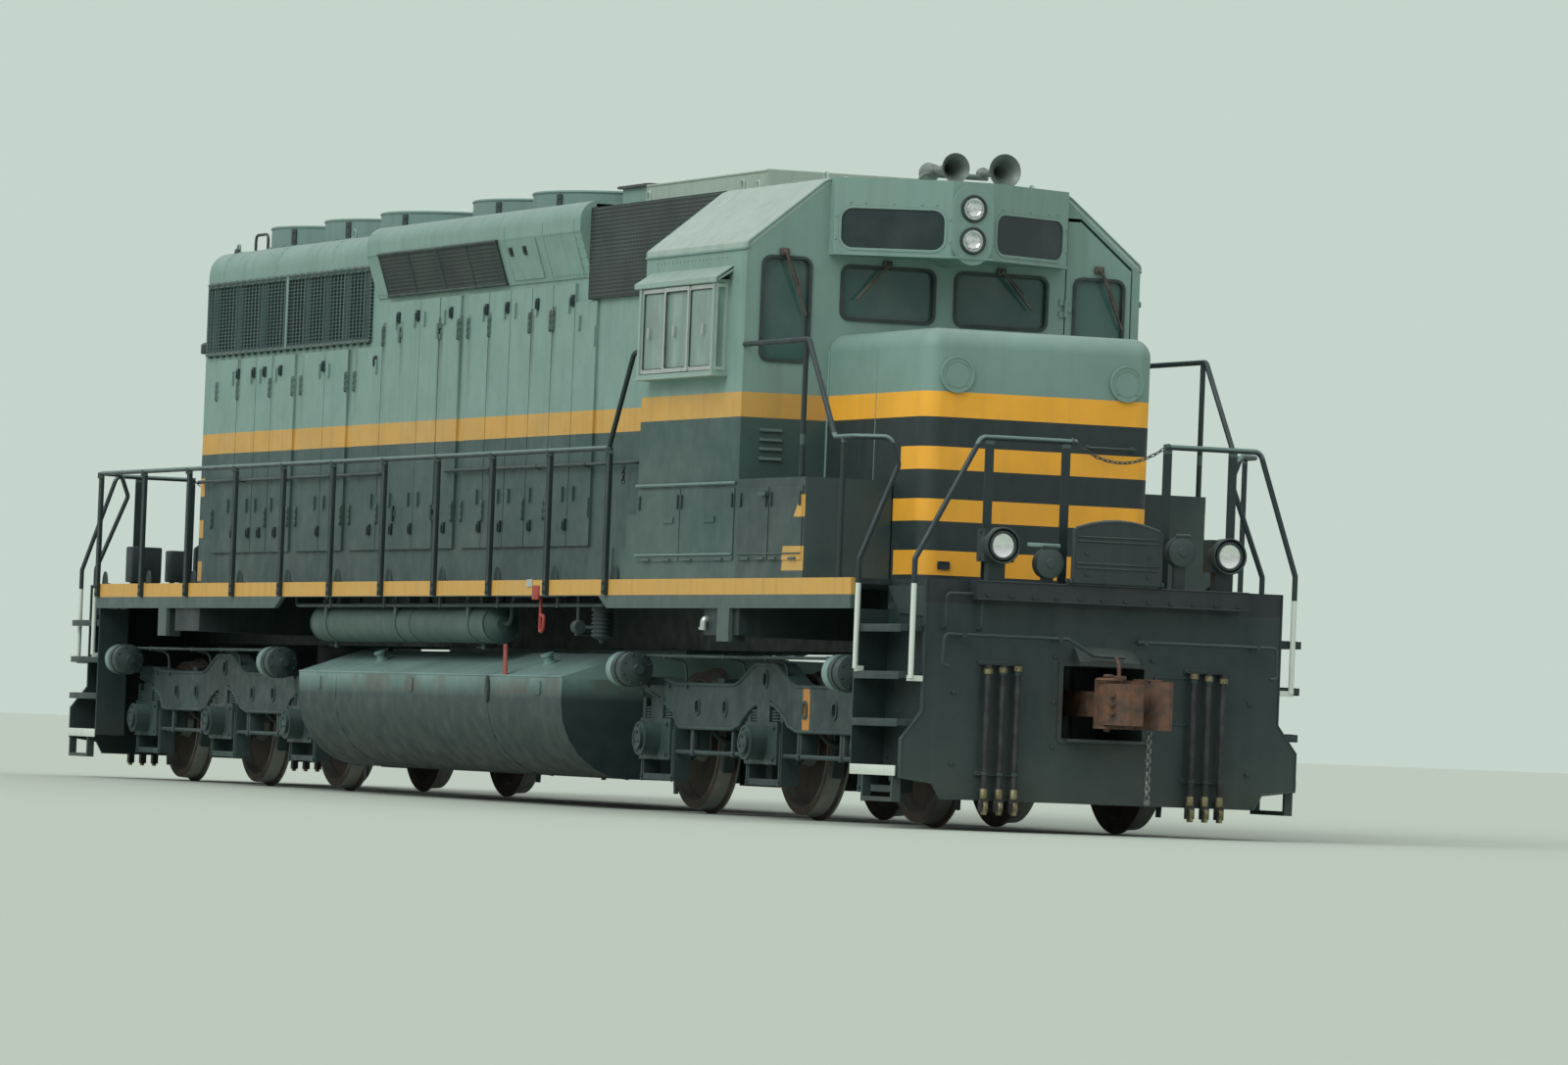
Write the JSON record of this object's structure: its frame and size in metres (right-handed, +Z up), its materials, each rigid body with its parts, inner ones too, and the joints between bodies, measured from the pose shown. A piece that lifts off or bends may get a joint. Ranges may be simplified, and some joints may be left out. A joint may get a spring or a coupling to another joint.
{
  "type": "six-axle diesel road-switcher locomotive",
  "caption": "Diesel freight locomotive with a walled cab, a short nose, a long hood with side walkways, roof fans and two three-axle swivelling trucks.",
  "frame": {"origin": "on the floor under the middle of the locomotive, at the flange tips", "axes": "+X towards the cab end, +Y to the locomotive's left side, +Z up"},
  "size_m": [20.026, 3.308, 4.8169],
  "materials": {
    "grey_body_paint": "faded grey enamel with yellow-orange stripes, dusty and chalked",
    "roof_paint": "weathered pale grey roof paint with rust spots",
    "black_paint": "worn black enamel with dust",
    "grey_running_gear": "dirty grey paint with oil and brake dust",
    "rail_paint": "dark handrail enamel, chipped",
    "engine_paint": "dull oily dark enamel",
    "wheel_steel": "rusty rolled steel with bright treads",
    "rusty_casting": "rust-brown cast steel",
    "dark_grille": "dark painted screens and lamp cases",
    "aluminium_blade": "dull cast aluminium",
    "window_glass": "dark tinted safety glass",
    "seat_vinyl": "black vinyl and grey enamel",
    "hose_rubber": "dusty black hose rubber"
  },
  "bodies": {
    "locomotive": {"underframe": "black_paint", "pilot_front": "black_paint", "pilot_rear": "black_paint", "fuel_tank": "grey_running_gear", "air_reservoirs": "grey_running_gear", "hood_sides": "grey_body_paint", "hood_roof": "grey_body_paint", "hood_ends": "grey_body_paint", "engine_block": "engine_paint", "hood_doors": "grey_body_paint", "brake_flare": "grey_body_paint", "hood_grilles": "dark_grille", "fan_housings": "grey_body_paint", "roof_fittings": "grey_body_paint", "cab_base": "grey_body_paint", "battery_boxes": "grey_body_paint", "cab_front_wall": "grey_body_paint", "cab_rear_wall": "grey_body_paint", "cab_side_walls": "grey_body_paint", "cab_roof": "roof_paint", "cab_glass": "window_glass", "cab_furniture": "seat_vinyl", "window_awnings": "grey_body_paint", "nose": "grey_body_paint", "headlight_housing": "grey_body_paint", "ditch_lights": "dark_grille", "horns": "grey_body_paint", "side_handrails": "rail_paint", "end_handrails": "rail_paint", "air_hoses": "hose_rubber"},
    "truck_front": {"truck_frame_front": "grey_running_gear", "traction_motors_front": "engine_paint"},
    "truck_rear": {"truck_frame_rear": "grey_running_gear", "traction_motors_rear": "engine_paint"},
    "wheelset_1": {"wheelset_1": "wheel_steel"},
    "wheelset_2": {"wheelset_2": "wheel_steel"},
    "wheelset_3": {"wheelset_3": "wheel_steel"},
    "wheelset_4": {"wheelset_4": "wheel_steel"},
    "wheelset_5": {"wheelset_5": "wheel_steel"},
    "wheelset_6": {"wheelset_6": "wheel_steel"},
    "coupler_front": {"coupler_front": "rusty_casting"},
    "knuckle_front": {"knuckle_front": "rusty_casting"},
    "drop_step_front": {"drop_step_front": "black_paint"},
    "cab_door_front": {"cab_door_front": "grey_body_paint"},
    "coupler_rear": {"coupler_rear": "rusty_casting"},
    "knuckle_rear": {"knuckle_rear": "rusty_casting"},
    "drop_step_rear": {"drop_step_rear": "black_paint"},
    "cab_door_rear": {"cab_door_rear": "grey_body_paint"},
    "fan_1": {"fan_1": "aluminium_blade"},
    "fan_2": {"fan_2": "aluminium_blade"},
    "fan_3": {"fan_3": "aluminium_blade"},
    "fan_4": {"fan_4": "aluminium_blade"},
    "fan_5": {"fan_5": "aluminium_blade"},
    "engine_door_right_a": {"engine_door_right_a": "grey_body_paint"},
    "engine_door_right_b": {"engine_door_right_b": "grey_body_paint"},
    "engine_door_left_a": {"engine_door_left_a": "grey_body_paint"},
    "engine_door_left_b": {"engine_door_left_b": "grey_body_paint"}
  },
  "joints": [
    {"name": "truck_front_swivel", "type": "hinge", "parent": "locomotive", "child": "truck_front", "pos_m": [6.096, 0, 0.988], "axis": [0, 0, 1], "range_deg": [-5, 5]},
    {"name": "truck_rear_swivel", "type": "hinge", "parent": "locomotive", "child": "truck_rear", "pos_m": [-6.096, 0, 0.988], "axis": [0, 0, 1], "range_deg": [-5, 5]},
    {"name": "wheelset_1_roll", "type": "hinge", "parent": "truck_front", "child": "wheelset_1", "pos_m": [8.166, 0, 0.536], "axis": [0, 1, 0], "continuous": true},
    {"name": "wheelset_2_roll", "type": "hinge", "parent": "truck_front", "child": "wheelset_2", "pos_m": [6.096, 0, 0.536], "axis": [0, 1, 0], "continuous": true},
    {"name": "wheelset_3_roll", "type": "hinge", "parent": "truck_front", "child": "wheelset_3", "pos_m": [4.026, 0, 0.536], "axis": [0, 1, 0], "continuous": true},
    {"name": "wheelset_4_roll", "type": "hinge", "parent": "truck_rear", "child": "wheelset_4", "pos_m": [-4.026, 0, 0.536], "axis": [0, 1, 0], "continuous": true},
    {"name": "wheelset_5_roll", "type": "hinge", "parent": "truck_rear", "child": "wheelset_5", "pos_m": [-6.096, 0, 0.536], "axis": [0, 1, 0], "continuous": true},
    {"name": "wheelset_6_roll", "type": "hinge", "parent": "truck_rear", "child": "wheelset_6", "pos_m": [-8.166, 0, 0.536], "axis": [0, 1, 0], "continuous": true},
    {"name": "coupler_front_swing", "type": "hinge", "parent": "locomotive", "child": "coupler_front", "pos_m": [8.75, 0, 0.888], "axis": [0, 0, 1], "range_deg": [-7, 7]},
    {"name": "knuckle_front_open", "type": "hinge", "parent": "coupler_front", "child": "knuckle_front", "pos_m": [9.793, -0.15, 0.888], "axis": [0, 0, 1], "range_deg": [-45, 0]},
    {"name": "drop_step_front_fold", "type": "hinge", "parent": "locomotive", "child": "drop_step_front", "pos_m": [9.53, 0, 1.708], "axis": [0, 1, 0], "range_deg": [0, 90]},
    {"name": "coupler_rear_swing", "type": "hinge", "parent": "locomotive", "child": "coupler_rear", "pos_m": [-8.75, 0, 0.888], "axis": [0, 0, 1], "range_deg": [-7, 7]},
    {"name": "knuckle_rear_open", "type": "hinge", "parent": "coupler_rear", "child": "knuckle_rear", "pos_m": [-9.793, 0.15, 0.888], "axis": [0, 0, 1], "range_deg": [-45, 0]},
    {"name": "drop_step_rear_fold", "type": "hinge", "parent": "locomotive", "child": "drop_step_rear", "pos_m": [-9.53, 0, 1.708], "axis": [0, -1, 0], "range_deg": [0, 90]},
    {"name": "cab_door_front_hinge", "type": "hinge", "parent": "locomotive", "child": "cab_door_front", "pos_m": [6.417, 0.94, 3.228], "axis": [0, 0, 1], "range_deg": [-90, 0]},
    {"name": "cab_door_rear_hinge", "type": "hinge", "parent": "locomotive", "child": "cab_door_rear", "pos_m": [4.427, -0.94, 3.228], "axis": [0, 0, 1], "range_deg": [-90, 0]},
    {"name": "engine_door_right_a_hinge", "type": "hinge", "parent": "locomotive", "child": "engine_door_right_a", "pos_m": [-2.597, -0.93, 3], "axis": [0, 0, 1], "range_deg": [-120, 0]},
    {"name": "engine_door_right_b_hinge", "type": "hinge", "parent": "locomotive", "child": "engine_door_right_b", "pos_m": [-1.674, -0.93, 3], "axis": [0, 0, 1], "range_deg": [0, 120]},
    {"name": "engine_door_left_a_hinge", "type": "hinge", "parent": "locomotive", "child": "engine_door_left_a", "pos_m": [-2.597, 0.93, 3], "axis": [0, 0, 1], "range_deg": [0, 120]},
    {"name": "engine_door_left_b_hinge", "type": "hinge", "parent": "locomotive", "child": "engine_door_left_b", "pos_m": [-1.674, 0.93, 3], "axis": [0, 0, 1], "range_deg": [-120, 0]},
    {"name": "fan_1_spin", "type": "hinge", "parent": "locomotive", "child": "fan_1", "pos_m": [-6.57, 0, 4.728], "axis": [0, 0, 1], "continuous": true},
    {"name": "fan_2_spin", "type": "hinge", "parent": "locomotive", "child": "fan_2", "pos_m": [-5.165, 0, 4.728], "axis": [0, 0, 1], "continuous": true},
    {"name": "fan_3_spin", "type": "hinge", "parent": "locomotive", "child": "fan_3", "pos_m": [-3.745, 0, 4.728], "axis": [0, 0, 1], "continuous": true},
    {"name": "fan_4_spin", "type": "hinge", "parent": "locomotive", "child": "fan_4", "pos_m": [-1.525, 0, 4.728], "axis": [0, 0, 1], "continuous": true},
    {"name": "fan_5_spin", "type": "hinge", "parent": "locomotive", "child": "fan_5", "pos_m": [-0.15, 0, 4.728], "axis": [0, 0, 1], "continuous": true}
  ]
}
